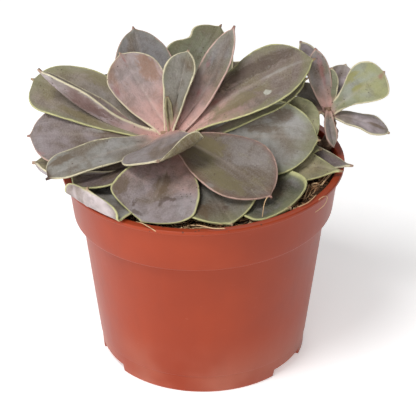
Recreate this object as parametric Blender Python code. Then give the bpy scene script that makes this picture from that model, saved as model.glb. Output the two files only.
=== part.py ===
"""A potted echeveria: a wide, weathered rosette and a smaller one behind it on the right, in soil, in a
12 cm plastic nursery pot. Metres, +Z up, the front of the plant towards -Y. The dimensions below are
measured from the pot's axis; the finished model's origin is at the bottom centre of its box."""

import math

import bmesh
import bpy
from mathutils import Matrix, Vector

MM = 0.001
CLEARANCE = 0.3

# The pot, in millimetres and degrees
RIM_RADIUS = 60.0
POT_HEIGHT = 88.0
WALL = 1.2
FLANGE_THICKNESS = 1.7
COLLAR_TOP_RADIUS = 58.0
COLLAR_FOOT_RADIUS = 55.8
COLLAR_FOOT_HEIGHT = 67.4
BODY_TOP_RADIUS = 52.4
FOOT_RADIUS = 44.6
FOOT_WIDTH = 1.8
FOOT_LINE_HEIGHT = 8.4
FOOT_LINE_RADIUS = 45.5
FOOT_LINE_STEP = 0.35
FLOOR_HEIGHT = 3.4
FLOOR_THICKNESS = 1.5
FLANGE_ROUNDING = 0.6
COLLAR_ROUNDING = 0.8
FOOT_LINE_ROUNDING = 0.3
LEDGE_HEIGHT = 1.6
LEDGE_DROP = 1.4
NOTCH_HEIGHT = 3.0
NOTCH_SPAN = 27.0
NOTCH_ANGLES = (86.0, 206.0, 326.0)
DRAIN_HOLES = 6
DRAIN_RADIUS = 4.0
DRAIN_CIRCLE_RADIUS = 30.0
DRAIN_SIDES = 16
POT_SIDES = 64
POT_SHARP_ANGLE = 25.0

# The thin pot has warped: above WARP_START its rim rises towards +X by this slope
WARP_SLOPE = 0.03
WARP_START = 50.0

# The soil, in millimetres
SOIL_LEVEL = 82.0
CRUMB_HEIGHT = 0.8
SOIL_SIDES = 48
SOIL_RINGS = 9
SOIL_EDGE_GAP = 0.4

# The stems, in millimetres: the points of each axis from its cut end in the soil to its growing tip
MAIN_STEM = ((-8, -1, 60), (-8, -1, 84), (-11, -3, 95), (-14, -5, 105))
MAIN_STEM_RADII = (6.5, 6.5, 6.0, 4.0)
OFFSET_STEM = ((42, 7, 62), (48, 8, 84), (55, 10, 95), (53, 12, 108))
OFFSET_STEM_RADII = (3.6, 3.6, 3.4, 2.4)
STEM_SIDES = 10
STEM_DOME = 0.6
STEM_HOLE_GAP = 0.4
STEM_HOLE_DEPTH = 0.6
STEM_HOLE_RISE = 8.0

# Every blade is ROWS long and two halves of ACROSS wide, as shares of its length and half width
ROWS = (0.0, 0.12, 0.26, 0.42, 0.58, 0.72, 0.84, 0.92, 0.965, 1.0)
ACROSS = (0.22, 0.62, 1.0)
EDGE_THICKNESS = 0.8
ROOT_THICKNESS_SHARE = 1.15
TIP_THICKNESS_SHARE = 0.6
MARGIN_THINNING = 0.75
TIP_FOLD_SHARE = 0.6
ROUGH_SHARP_ANGLE = 50.0

# The small hard point at a blade's end: where it starts, and its half widths in millimetres
SPUR_START = 0.965
SPUR_HALF_WIDTH = 1.2
TIP_HALF_WIDTH = 0.35

# How far in from the margin a turned-up border starts and how tightly a folded one bends, in millimetres,
# and how far out from the midrib, as a share of the leaf's width, the lifts of its two halves stop blending
LIFT_REACH = 5.0
FLAP_RADIUS = 1.5
LIFT_BLEND = 0.35


def leaf(name, height, tip, face, width, **shape):
    """One leaf, in millimetres: the height on the stem that it grows from, the place of its tip, the way its
    upper face looks and its greatest width. bow moves the middle of its length off the straight line, and
    taper narrows its lower part. A pair is for the two halves of the leaf: sides scales their widths, widest
    is the share of the length where they are widest, point makes their ends sharper, fold and curl are the
    angles by which they rise at the midrib and towards the margin, and lift is how far the border is turned
    up. flap folds the border up along a straight line, wave ripples the margin, and bite is damage to the
    first half: its place, its length and its depth."""
    made = {
        "name": name,
        "height": height,
        "tip": tip,
        "face": face,
        "width": width,
        "root_width": 9.0,
        "bow": (0, 0, 0),
        "sides": (1, 1),
        "widest": 0.64,
        "point": 0.6,
        "taper": 1.6,
        "fold": (10, 10),
        "curl": (8, 8),
        "thick": 2.4,
        "wave": 0.5,
        "waves": 2.0,
        "bite": None,
        "lift": (0, 0),
        "flap": None,
    }
    made.update(shape)
    for key in ("widest", "point"):
        if not isinstance(made[key], tuple):
            made[key] = (made[key], made[key])
    return made


MAIN_LEAVES = (
    leaf("bud", 104, (-15, -1, 119), (0.5, -1, 0.3), 4, fold=(45, 45), root_width=4, thick=1.4, wave=0),
    leaf("inner_folded", 103, (-6, 8, 136), (-0.5, -1, 0.4), 17, fold=(45, 50), root_width=7, thick=1.8,
         widest=0.74, sides=(1, 1.1)),
    leaf("inner_pink", 103, (-35, 12, 133), (0.2, -1, 0.6), 24, bow=(1, 0, -3), root_width=8,
         widest=(0.76, 0.7)),
    leaf("upright_right", 102, (13, 10, 146), (-0.8, -1, 0.3), 15, bow=(4, 0, -6), sides=(1, 0.9),
         fold=(25, 25), root_width=8),
    leaf("scoop", 104, (-18, -40, 109), (-0.3, -0.15, 1), 37, fold=(4, -5), curl=(12, 5), root_width=8,
         sides=(1.04, 0.95), widest=(0.8, 0.64), point=(0.4, 0.6), flap=((-0.5, 0.97), (-18, 0.69), 95)),
    leaf("left_folded", 102, (-68, 0, 131), (0, 0.3, 1), 22, fold=(55, 55), sides=(0.74, 0.8),
         widest=0.68, taper=2.3, bow=(0, 0, -16), root_width=6),
    leaf("right_large", 101, (47, 10, 131), (-0.2, -0.6, 1), 30, bow=(0, 0, 6), sides=(0.94, 1.04),
         fold=(14, 16), widest=(0.72, 0.58), point=(0.65, 0.72), taper=2.4),
    leaf("front_right", 100, (28, -41, 93), (0.1, -0.5, 1), 33, bow=(0, 0, 6), point=0.6),
    leaf("left_front", 100, (-64, -31, 96), (0, -0.25, 1), 23, bow=(0, 0, 5), sides=(0.66, 0.84),
         widest=(0.6, 0.8), point=(0.6, 0.4)),
    leaf("back_left", 99, (-30, 34, 135), (0.2, -1, 0.7), 26, bow=(-2, 4, -6)),
    leaf("back_right", 98, (8, 45, 131), (0, -1, 0.6), 31, bow=(-8, 6, -4), taper=2.4,
         bite=(0.8, 0.06, 0.3)),
    leaf("left_broad", 98, (-72.5, 12.5, 120.5), (0, -0.6, 1), 31, bow=(0, 0, 3), sides=(0.94, 0.9),
         widest=(0.84, 0.64), point=(0.3, 0.5)),
    leaf("right_broad", 96, (49, -10, 103), (0, -0.75, 0.7), 32, bow=(0, 0, 6), sides=(1, 1.12)),
    leaf("front_drooping", 98, (-24.9, -49.8, 85.6), (0, -0.6, 1), 38, bow=(5, -4, 8), sides=(1.0, 0.96),
         widest=(0.78, 0.8), point=(0.75, 0.85), taper=2.2),
    leaf("left_level", 96, (-73, -10, 105), (0, -0.5, 1), 30, bow=(0, 0, 5), sides=(0.97, 1.05),
         widest=(0.76, 0.64), point=(0.45, 0.6), fold=(-6, 10), curl=(0, 8)),
    leaf("right_under", 96, (44, 8, 123), (0, -0.6, 1), 27, bow=(0, 0, 4), sides=(1, 0.68)),
    leaf("right_behind", 97, (30, 36, 114), (0, -0.6, 1), 28, bow=(0, 0, 4)),
    leaf("front_low", 93, (12, -52, 86.2), (0, -0.3, 1), 36, bow=(0, 0, 4), widest=(0.7, 0.64)),
    leaf("right_low_front", 89, (36, -42, 87.6), (0, -0.1, 1), 41, bow=(0, 0, 1), sides=(0.9, 0.82),
         widest=(0.84, 0.88), point=0.34, fold=(4, 2), curl=(4, 0), lift=(2.5, 1.2)),
    leaf("left_channelled", 95, (-54, -30, 92), (0, -0.2, 1), 28, fold=(25, 25)),
    leaf("left_turned", 88, (-71.5, -10, 92.5), (0, 0.1, 1), 26, widest=(0.82, 0.64), point=(0.45, 0.6),
         fold=(0, 10), curl=(0, 8), bow=(0, -3, 0), sides=(1.42, 0.9), lift=(3.5, 0)),
    leaf("left_on_rim", 89, (-52.5, -45.1, 89), (0, 0, 1), 38, bow=(0, 0, -1), widest=0.9, point=0.25,
         sides=(1, 0.7), fold=(0, 4), curl=(0, 0), flap=((18, 0.85), (-18, 0.85), 95)),
    leaf("right_pale", 93, (50, 4, 109), (0, -0.8, 0.7), 30, bow=(0, 0, 2), sides=(0.66, 1), widest=0.75,
         point=0.4),
    leaf("right_shaded", 91, (50, -5, 96), (0, -0.5, 1), 26, bow=(0, 0, 4), sides=(1, 0.6)),
    leaf("right_folded", 89, (63, -10, 91), (0, -0.6, 1), 18, sides=(1, 0.7), point=0.9, fold=(20, 30),
         bow=(0, 0, 2)),
    leaf("right_on_rim", 89, (58, -17.5, 92.5), (0, -0.5, 1), 22, widest=(0.5, 0.6), point=0.95,
         fold=(15, 15), bow=(0, 0, 2)),
    leaf("far_left_low", 92, (-64, 24, 98), (0, -0.3, 1), 30, bow=(0, 0, 4)),
    leaf("far_back_left", 94, (-46, 46, 106), (0, -0.2, 1), 30, bow=(0, 0, 6)),
    leaf("far_back", 93, (-14, 58, 104), (0, 0, 1), 32, bow=(0, 0, 6)),
    leaf("far_back_right", 92, (24, 50, 100), (0, 0, 1), 30, bow=(0, 0, 6)),
)

OFFSET_LEAVES = (
    leaf("pale_right", 105, (76, 8, 126), (-0.2, -1, 0.6), 19, bow=(0, 0, 1), root_width=5, thick=2.0,
         widest=(0.72, 0.84), point=(0.42, 0.36), taper=3.0),
    leaf("grey_right", 104, (79, 4, 99), (0, -0.1, 1), 15, bow=(0, 0, 2), sides=(0.84, 1), root_width=5,
         thick=2.0),
    leaf("upright_pink", 106, (47, 14, 134), (0.1, -1, 0.2), 11, sides=(1, 0.8), root_width=5, thick=2.0,
         bow=(0, 0, -2)),
    leaf("small_behind", 106, (41, 23, 133), (0, -1, 0.4), 9, root_width=4, thick=1.8, bow=(2, 8, 0)),
    leaf("inner_green", 106, (54, 14, 125), (0, -1, 0.4), 7, root_width=4, thick=1.6, wave=0),
    leaf("grey_back", 105, (61, 26, 121), (0, -1, 0.8), 14, root_width=5, thick=2.0),
    leaf("small_left", 104, (40, 21, 114), (0, -0.6, 1), 11, root_width=4, thick=1.8),
    leaf("rolled_drooping", 105, (55, -1, 95), (0, -0.4, 1), 7, root_width=4, fold=(55, 55),
         bow=(-2, -4, 5)),
    leaf("low_back", 102, (58, 30, 99), (0, -0.3, 1), 10, root_width=4, thick=2.0, bow=(0, 0, 4)),
)


def mix(a, b, share):
    return a + (b - a) * share


def smooth(low, high, value):
    """0 below low, 1 above high and an even S between."""
    share = min(1, max(0, (value - low) / (high - low)))
    return share * share * (3 - 2 * share)


def stem_point(stem, height):
    """The point of a stem's axis at this height."""
    points = [Vector(point) for point in stem]
    for low, high in zip(points, points[1:]):
        if height <= high.z:
            break
    return low.lerp(high, (height - low.z) / (high.z - low.z))


def half_width(made, side, along):
    """Half the blade's width at this share of its length: narrow at the root, widest near the end, then
    rounded in to a short hard spur."""
    index = 0 if side < 0 else 1
    widest = made["widest"][index]
    half = made["width"] / 2 * made["sides"][index]
    root = made["root_width"] / 2
    if along < widest:
        wide = mix(root, half, math.sin(math.pi / 2 * along / widest) ** made["taper"])
    else:
        past = min(1, (along - widest) / (SPUR_START - widest))
        wide = half * (1 - past**2) ** made["point"][index]
    if made["bite"] and side < 0:
        place, length, depth = made["bite"]
        wide *= 1 - depth * math.exp(-(((along - place) / length) ** 2))
    spur = mix(SPUR_HALF_WIDTH, TIP_HALF_WIDTH, max(0, (along - SPUR_START) / (1 - SPUR_START)))
    return max(wide, spur)


def thickness(made, along, across):
    """Thick along the midrib and near the root, thin at the margin and the tip."""
    body = made["thick"] * mix(ROOT_THICKNESS_SHARE, TIP_THICKNESS_SHARE, along)
    return max(body * (1 - MARGIN_THINNING * across**2), EDGE_THICKNESS)


def blade_frame(made, root, along):
    """The midrib's point at this share of the length, and the blade's side and face directions there."""
    tip = Vector(made["tip"])
    middle = root.lerp(tip, 0.5) + Vector(made["bow"])
    point = root * (1 - along) ** 2 + middle * 2 * along * (1 - along) + tip * along**2
    ahead = ((middle - root) * (1 - along) + (tip - middle) * along).normalized()
    face = Vector(made["face"])
    face = (face - ahead * face.dot(ahead)).normalized()
    return point, ahead.cross(face), face


def flap_turn(made, root, along, beside, across_way, face):
    """How far a point moves where the leaf's border is folded up along a straight line. The flap is the two
    ends of the line, each as a distance from the midrib and a share of the length, and the fold's angle."""
    if not made["flap"]:
        return Vector()
    length = (Vector(made["tip"]) - root).length
    first, second, angle = made["flap"]
    start = Vector((first[0], first[1] * length))
    line = (Vector((second[0], second[1] * length)) - start).normalized()
    outwards = Vector((line.y, -line.x))
    beyond = (Vector((beside, along * length)) - start).dot(outwards)
    if beyond <= 0:
        return Vector()
    bend = min(beyond / FLAP_RADIUS, math.radians(angle))
    rest = beyond - bend * FLAP_RADIUS
    inwards = beyond - math.sin(bend) * FLAP_RADIUS - rest * math.cos(bend)
    rise = (1 - math.cos(bend)) * FLAP_RADIUS + rest * math.sin(bend)
    ahead = face.cross(across_way)
    return face * rise - (across_way * outwards.x + ahead * outwards.y) * inwards


def margin_lift(made, index, share, wide):
    """How far the blade's border is turned up at this share of its half width."""
    outwards = smooth(0, LIFT_BLEND, share * wide / made["width"])
    height = mix(min(made["lift"]), made["lift"][index], outwards)
    return height * max(0, 1 - (1 - share) * wide / LIFT_REACH) ** 2


def blade_half(made, root, along, side, steps):
    """Points of one half of the blade's middle sheet, from the midrib outwards, each with its thickness."""
    point, across_way, face = blade_frame(made, root, along)
    wide = half_width(made, side, along)
    index = 0 if side < 0 else 1
    fold = math.radians(made["fold"][index]) * mix(1, TIP_FOLD_SHARE, along)
    curl = math.radians(made["curl"][index])
    out, rise, before = 0.0, 0.0, 0.0
    found = []
    for share in steps:
        turn = fold + curl * ((before + share) / 2) ** 2
        out += wide * (share - before) * math.cos(turn)
        rise += wide * (share - before) * math.sin(turn)
        before = share
        ripple = made["wave"] * share**3 * math.sin(math.tau * made["waves"] * along + side)
        level = rise + ripple * min(1, 4 * (1 - along)) + margin_lift(made, index, share, wide)
        middle = point + across_way * side * out + face * level
        middle += flap_turn(made, root, along, side * share * wide, across_way, face)
        found.append((middle, thickness(made, along, share)))
    return found


def blade_skins(grid):
    """The points of the upper and of the lower skin, half the thickness away from the middle sheet."""
    top, bottom = [], []
    for row, line in enumerate(grid):
        below, above = grid[max(row - 1, 0)], grid[min(row + 1, len(grid) - 1)]
        top.append([])
        bottom.append([])
        for column, (middle, thick) in enumerate(line):
            onwards = above[column][0] - below[column][0]
            sideways = line[min(column + 1, len(line) - 1)][0] - line[max(column - 1, 0)][0]
            skin = sideways.cross(onwards).normalized() * thick / 2
            top[-1].append(middle + skin)
            bottom[-1].append(middle - skin)
    return top, bottom


def blade_mesh(made, root, rows=ROWS, steps=ACROSS):
    """The closed blade, its upper and lower faces split into triangles alike."""
    bm = bmesh.new()
    grid = []
    for along in rows:
        left = blade_half(made, root, along, -1, steps)
        right = blade_half(made, root, along, 1, steps)
        grid.append(left[::-1] + right)
    skins = [[[bm.verts.new(place * MM) for place in line] for line in skin] for skin in blade_skins(grid)]
    top, bottom = skins
    last = len(top[0]) - 1
    for row in range(len(rows) - 1):
        for column in range(last):
            for skin in skins:
                a, b = skin[row][column], skin[row][column + 1]
                c, d = skin[row + 1][column + 1], skin[row + 1][column]
                bm.faces.new((a, b, c))
                bm.faces.new((a, c, d))
        for column in (0, last):
            bm.faces.new((top[row][column], top[row + 1][column], bottom[row + 1][column]))
            bm.faces.new((top[row][column], bottom[row + 1][column], bottom[row][column]))
    for row in (0, len(rows) - 1):
        for column in range(last):
            a, b = top[row][column], top[row][column + 1]
            c, d = bottom[row][column + 1], bottom[row][column]
            bm.faces.new((a, b, c))
            bm.faces.new((a, c, d))
    return finished(bm, made["name"])


def stem_mesh(stem, radii, sides=STEM_SIDES):
    """A closed tube along the stem's points, flat at its cut end and domed at its growing tip."""
    points = [Vector(point) for point in stem]
    tip = points[-1] + (points[-1] - points[-2]).normalized() * radii[-1] * STEM_DOME
    bm = bmesh.new()
    rings = []
    for point, radius in zip(points, radii):
        turns = (math.tau * k / sides for k in range(sides))
        ring = [point + Vector((math.cos(t) * radius, math.sin(t) * radius, 0)) for t in turns]
        rings.append([bm.verts.new(place * MM) for place in ring])
    for low, high in zip(rings, rings[1:]):
        for k in range(sides):
            after = (k + 1) % sides
            bm.faces.new((low[k], low[after], high[after], high[k]))
    top = bm.verts.new(tip * MM)
    bm.faces.new(rings[0])
    for k in range(sides):
        bm.faces.new((rings[-1][k], rings[-1][(k + 1) % sides], top))
    return finished(bm, "stem")


def warped(x, y, z):
    """The place of a point of the pot or the soil after the warp of its upper part."""
    return Vector((x, y, z + WARP_SLOPE * x * smooth(WARP_START, COLLAR_FOOT_HEIGHT, z)))


def body_radius(height):
    """The outside of the pot's tapered body at this height."""
    share = (height - FOOT_LINE_HEIGHT) / (COLLAR_FOOT_HEIGHT - FOOT_LINE_HEIGHT)
    return mix(FOOT_LINE_RADIUS, BODY_TOP_RADIUS, share)


def collar_radius(height):
    """The outside of the pot's collar at this height."""
    share = (height - COLLAR_FOOT_HEIGHT) / (POT_HEIGHT - COLLAR_FOOT_HEIGHT)
    return mix(COLLAR_FOOT_RADIUS, COLLAR_TOP_RADIUS, share)


def pot_outside():
    """The (radius, height) points of the pot's outer side, from under its floor to the top of its rim."""
    flange_foot = POT_HEIGHT - FLANGE_THICKNESS
    return (
        (FOOT_RADIUS - FOOT_WIDTH, FLOOR_HEIGHT),
        (FOOT_RADIUS - FOOT_WIDTH, 0),
        (FOOT_RADIUS, 0),
        (FOOT_LINE_RADIUS - FOOT_LINE_STEP, FOOT_LINE_HEIGHT - FOOT_LINE_ROUNDING),
        (FOOT_LINE_RADIUS, FOOT_LINE_HEIGHT),
        (BODY_TOP_RADIUS, COLLAR_FOOT_HEIGHT - COLLAR_ROUNDING),
        (COLLAR_FOOT_RADIUS - COLLAR_ROUNDING, COLLAR_FOOT_HEIGHT - COLLAR_ROUNDING / 2),
        (COLLAR_FOOT_RADIUS, COLLAR_FOOT_HEIGHT + COLLAR_ROUNDING / 2),
        (collar_radius(flange_foot), flange_foot - FLANGE_ROUNDING / 2),
        (RIM_RADIUS - FLANGE_ROUNDING, flange_foot),
        (RIM_RADIUS, flange_foot + FLANGE_ROUNDING),
        (RIM_RADIUS, POT_HEIGHT - FLANGE_ROUNDING),
        (RIM_RADIUS - FLANGE_ROUNDING, POT_HEIGHT),
    )


def pot_inside(gap=0.0):
    """The (radius, height) points of the pot's inner side, from rim to floor, drawn in by this gap."""
    inner = WALL + gap
    floor = FLOOR_HEIGHT + FLOOR_THICKNESS + gap
    ledge = COLLAR_FOOT_HEIGHT + LEDGE_HEIGHT + gap
    return (
        (collar_radius(POT_HEIGHT) - inner, POT_HEIGHT),
        (collar_radius(ledge) - inner, ledge),
        (body_radius(ledge) - inner, ledge - LEDGE_DROP),
        (body_radius(floor) - inner, floor),
    )


def notch_lift(angle, height):
    """How far a point low on the foot is raised where a drainage notch cuts it."""
    for middle in NOTCH_ANGLES:
        away = abs((angle - middle + 180) % 360 - 180)
        if away < NOTCH_SPAN / 2:
            return max(0, NOTCH_HEIGHT - height)
    return 0


def turned_rings(bm, profile, sides):
    """One ring of vertices for each point of the profile, turned round the Z axis."""
    rings = []
    for radius, height in profile:
        ring = []
        for k in range(sides):
            turn = math.tau * k / sides
            lift = notch_lift(math.degrees(turn), height)
            place = warped(math.cos(turn) * radius, math.sin(turn) * radius, height + lift)
            ring.append(bm.verts.new(place * MM))
        rings.append(ring)
    return rings


def bridge(bm, rings):
    for low, high in zip(rings, rings[1:]):
        for k in range(len(low)):
            after = (k + 1) % len(low)
            bm.faces.new((low[k], low[after], high[after], high[k]))


def pot_mesh():
    """The pot as one turned shell, with its foot ring notched."""
    bm = bmesh.new()
    rings = turned_rings(bm, pot_outside() + pot_inside(), POT_SIDES)
    bridge(bm, rings)
    bm.faces.new(rings[0])
    bm.faces.new(rings[-1])
    return finished(bm, "pot")


def drain_cutter_mesh():
    """The drain holes of the pot's floor, as rods standing in a circle."""
    bm = bmesh.new()
    for k in range(DRAIN_HOLES):
        turn = math.tau * (k + 0.5) / DRAIN_HOLES
        centre = Vector((math.cos(turn), math.sin(turn), 0)) * DRAIN_CIRCLE_RADIUS * MM
        centre.z = FLOOR_HEIGHT * MM
        made = bmesh.ops.create_cone(
            bm,
            cap_ends=True,
            segments=DRAIN_SIDES,
            radius1=DRAIN_RADIUS * MM,
            radius2=DRAIN_RADIUS * MM,
            depth=4 * FLOOR_THICKNESS * MM,
        )
        bmesh.ops.translate(bm, verts=made["verts"], vec=centre)
    return finished(bm, "drain_holes")


def crumb(x, y):
    """The rough top of the soil: a few waves that don't line up."""
    coarse = math.sin(0.31 * x + 1.3) * math.sin(0.27 * y - 0.4)
    fine = math.sin(0.83 * x - 0.61 * y + 2.0) * math.sin(0.74 * x + 0.9 * y)
    return CRUMB_HEIGHT * (0.6 * coarse + 0.4 * fine)


def soil_mesh():
    """The soil as one turned solid that keeps clear of the pot, with a crumbly top."""
    bm = bmesh.new()
    side = pot_inside(CLEARANCE)
    edge = collar_radius(SOIL_LEVEL) - WALL - SOIL_EDGE_GAP
    top = [(edge * (1 - k / SOIL_RINGS), SOIL_LEVEL) for k in range(SOIL_RINGS)]
    rings = turned_rings(bm, tuple(reversed(top)) + side[1:], SOIL_SIDES)
    for ring in rings[:SOIL_RINGS]:
        for vert in ring:
            vert.co.z += crumb(vert.co.x / MM, vert.co.y / MM) * MM
    bridge(bm, rings)
    centre = bm.verts.new(Vector((0, 0, SOIL_LEVEL + crumb(0, 0))) * MM)
    for k in range(SOIL_SIDES):
        bm.faces.new((rings[0][k], rings[0][(k + 1) % SOIL_SIDES], centre))
    bm.faces.new(rings[-1])
    return finished(bm, "soil")


def cut(whole, mesh, name):
    """Cuts this mesh out of the object."""
    cutter = add_object(name, mesh)
    modifier = whole.modifiers.new(name, "BOOLEAN")
    modifier.operation = "DIFFERENCE"
    modifier.solver = "EXACT"
    modifier.object = cutter
    apply_modifiers(whole)
    bpy.data.objects.remove(cutter)


def pot(material):
    made = add_object("pot", pot_mesh(), material)
    cut(made, drain_cutter_mesh(), "drain_holes")
    made.data.shade_smooth()
    made.data.set_sharp_from_angle(angle=math.radians(POT_SHARP_ANGLE))


def soil(material):
    """The soil with a plain hole for each stem."""
    made = add_object("soil", soil_mesh(), material)
    for stem, radii in ((MAIN_STEM, MAIN_STEM_RADII), (OFFSET_STEM, OFFSET_STEM_RADII)):
        ahead = (Vector(stem[1]) - Vector(stem[0])).normalized()
        foot = Vector(stem[0]) - ahead * STEM_HOLE_DEPTH
        top = Vector(stem[1]) + ahead * STEM_HOLE_RISE
        wide = radii[0] + STEM_HOLE_GAP
        cut(made, stem_mesh((foot, top), (wide, wide)), "stem_hole")
    made.data.shade_smooth()
    made.data.set_sharp_from_angle(angle=math.radians(ROUGH_SHARP_ANGLE))


def finished(bm, name):
    """The mesh of these faces, all of them looking outwards."""
    bmesh.ops.recalc_face_normals(bm, faces=bm.faces)
    if bm.calc_volume(signed=True) < 0:
        bmesh.ops.reverse_faces(bm, faces=bm.faces)
    mesh = bpy.data.meshes.new(name)
    bm.to_mesh(mesh)
    bm.free()
    return mesh


def add_object(name, mesh, material=None, collection=None):
    made = bpy.data.objects.new(name, mesh)
    if material:
        mesh.materials.append(material)
    (collection or bpy.context.scene.collection).objects.link(made)
    return made


def apply_modifiers(made):
    """Keeps the evaluated shape of this object as its own mesh."""
    graph = bpy.context.evaluated_depsgraph_get()
    mesh = bpy.data.meshes.new_from_object(made.evaluated_get(graph))
    made.modifiers.clear()
    made.data = mesh


def shell_volume(faces):
    total = 0.0
    for face in faces:
        first = face.verts[0].co
        for b, c in zip(face.verts[1:], face.verts[2:]):
            total += first.dot(b.co.cross(c.co)) / 6
    return total


def keep_outer_shell(mesh):
    """Deletes what the union left besides its one outer skin: sealed hollows and loose scraps."""
    bm = bmesh.new()
    bm.from_mesh(mesh)
    unseen = set(bm.faces)
    shells = []
    while unseen:
        shell, edge = set(), [unseen.pop()]
        while edge:
            face = edge.pop()
            shell.add(face)
            for border in face.edges:
                for other in border.link_faces:
                    if other in unseen:
                        unseen.remove(other)
                        edge.append(other)
        shells.append(shell)
    shells.sort(key=shell_volume)
    spare = [face for shell in shells[:-1] for face in shell]
    bmesh.ops.delete(bm, geom=spare, context="FACES")
    bm.to_mesh(mesh)
    bm.free()


def rosette(name, stem, radii, leaves, material):
    """One plant: its stem with every leaf fused to it."""
    whole = add_object(name, stem_mesh(stem, radii), material)
    parts = bpy.data.collections.new(name + "_leaves")
    bpy.context.scene.collection.children.link(parts)
    for made in leaves:
        add_object(made["name"], blade_mesh(made, stem_point(stem, made["height"])), material, parts)
    union = whole.modifiers.new("leaves", "BOOLEAN")
    union.operation = "UNION"
    union.solver = "MANIFOLD"
    union.operand_type = "COLLECTION"
    union.collection = parts
    apply_modifiers(whole)
    for made in list(parts.objects):
        bpy.data.objects.remove(made)
    bpy.data.collections.remove(parts)
    keep_outer_shell(whole.data)
    whole.data.shade_smooth()
    whole.data.set_sharp_from_angle(angle=math.radians(ROUGH_SHARP_ANGLE))


def clear_scene():
    for made in list(bpy.data.objects):
        bpy.data.objects.remove(made)


def centre_on_box():
    """Moves every mesh sideways so that the origin is at the bottom centre of the whole plant's box."""
    meshes = [made.data for made in bpy.data.objects]
    shift = Vector()
    for axis in (0, 1):
        places = [vert.co[axis] for mesh in meshes for vert in mesh.vertices]
        shift[axis] = -(min(places) + max(places)) / 2
    for mesh in meshes:
        mesh.transform(Matrix.Translation(shift))


def make_material(name, colour, roughness):
    material = bpy.data.materials.new(name)
    material.use_nodes = True
    shader = material.node_tree.nodes["Principled BSDF"]
    shader.inputs["Base Color"].default_value = (*colour, 1)
    shader.inputs["Roughness"].default_value = roughness
    shader.inputs["Metallic"].default_value = 0
    material.diffuse_color = (*colour, 1)
    return material


def main():
    clear_scene()
    pot(make_material("terracotta_plastic", (0.46, 0.09, 0.04), 0.4))
    soil(make_material("peat", (0.035, 0.022, 0.014), 0.95))
    leaf_skin = make_material("leaf", (0.19, 0.16, 0.13), 0.6)
    young_skin = make_material("young_leaf", (0.25, 0.26, 0.19), 0.6)
    rosette("main_rosette", MAIN_STEM, MAIN_STEM_RADII, MAIN_LEAVES, leaf_skin)
    rosette("offset_rosette", OFFSET_STEM, OFFSET_STEM_RADII, OFFSET_LEAVES, young_skin)
    centre_on_box()


if __name__ == "__main__":
    main()
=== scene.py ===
"""Dresses the potted echeveria: finer leaves, stems, soil and pot in place of the plain solids, with their
materials, the floor, the light and the camera. Sizes are in millimetres from the pot's axis, as in the
solids, and colours are as a screen shows them, 0 to 255."""

import math
import random

import bmesh
import bpy
from mathutils import Matrix, Vector, noise


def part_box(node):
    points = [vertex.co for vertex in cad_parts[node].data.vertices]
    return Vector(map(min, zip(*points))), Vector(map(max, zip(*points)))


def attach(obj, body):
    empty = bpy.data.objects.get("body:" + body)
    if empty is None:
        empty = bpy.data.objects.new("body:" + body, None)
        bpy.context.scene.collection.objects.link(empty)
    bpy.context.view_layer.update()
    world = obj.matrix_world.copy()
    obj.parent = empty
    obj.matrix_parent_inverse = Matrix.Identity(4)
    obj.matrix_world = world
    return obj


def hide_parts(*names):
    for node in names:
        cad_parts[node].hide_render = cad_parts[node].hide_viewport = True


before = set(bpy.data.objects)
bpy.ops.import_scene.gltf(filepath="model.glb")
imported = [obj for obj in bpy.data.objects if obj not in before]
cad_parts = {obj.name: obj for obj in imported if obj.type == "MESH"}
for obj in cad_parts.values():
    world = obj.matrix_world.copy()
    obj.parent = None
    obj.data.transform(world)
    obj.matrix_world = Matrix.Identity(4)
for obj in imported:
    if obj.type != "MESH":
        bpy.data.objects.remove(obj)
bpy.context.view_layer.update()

MM = 0.001
POT_LOW, POT_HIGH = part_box("pot")
POT_AXIS = Vector(((POT_LOW[0] + POT_HIGH[0]) / 2, (POT_LOW[1] + POT_HIGH[1]) / 2, 0))

# The camera, fitted to the pot's rim, collar and foot in the photograph
CAMERA_TARGET = (2.11, 0, 64.97)
CAMERA_ELEVATION = 29.63
CAMERA_DISTANCE = 806.0
CAMERA_LENS = 162.2
SENSOR_WIDTH = 36.0

# The studio, in metres: the place, power and size of each soft light, the point that they look at, the world
# and the pale floor
LIGHTS = {
    "top_light": ((-0.4, -0.5, 1.1), 9.0, 0.42),
    "side_light": ((-1.0, -0.6, 0.45), 2.8, 0.5),
    "front_light": ((-0.35, -1.1, 0.5), 3.6, 0.5),
    "back_light": ((0.1, 0.8, 0.8), 2.0, 0.6),
}
LIGHT_AIM_HEIGHT = 0.08
WORLD_STRENGTH = 0.17
FLOOR_WHITE = 0.94
FLOOR_GLOW = 0.38
FLOOR_HALF_WIDTH = 6.0
FLOOR_DROP = 0.0002

# The pot
RIM_RADIUS = 60.0
POT_HEIGHT = 88.0
WALL = 1.2
FLANGE_THICKNESS = 1.7
FLANGE_RISE = 0.2
COLLAR_TOP_RADIUS = 58.0
COLLAR_FOOT_RADIUS = 55.8
COLLAR_FOOT_HEIGHT = 67.4
COLLAR_LIP = 0.3
BODY_TOP_RADIUS = 52.4
BODY_TOP_DROP = 0.8
LEDGE_HEIGHT = 1.6
LEDGE_DROP = 1.4
FOOT_RADIUS = 44.6
FOOT_WIDTH = 1.8
FOOT_LINE_HEIGHT = 8.4
FOOT_LINE_RADIUS = 45.5
FOOT_LINE_STEP = 0.35
FOOT_LINE_RISE = 0.25
FLOOR_HEIGHT = 3.4
FLOOR_THICKNESS = 1.5
NOTCH_HEIGHT = 3.0
NOTCH_SPAN = 27.0
NOTCH_BLEND = 0.7
NOTCH_ANGLES = (86.0, 206.0, 326.0)
DRAIN_HOLES = 6
DRAIN_RADIUS = 4.0
DRAIN_CIRCLE_RADIUS = 30.0
DRAIN_SIDES = 32
SHARP_ANGLE = 50.0
POT_SIDES = 288
CORNER_STEPS = 5
LONGEST_RUN = 3.5

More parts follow.
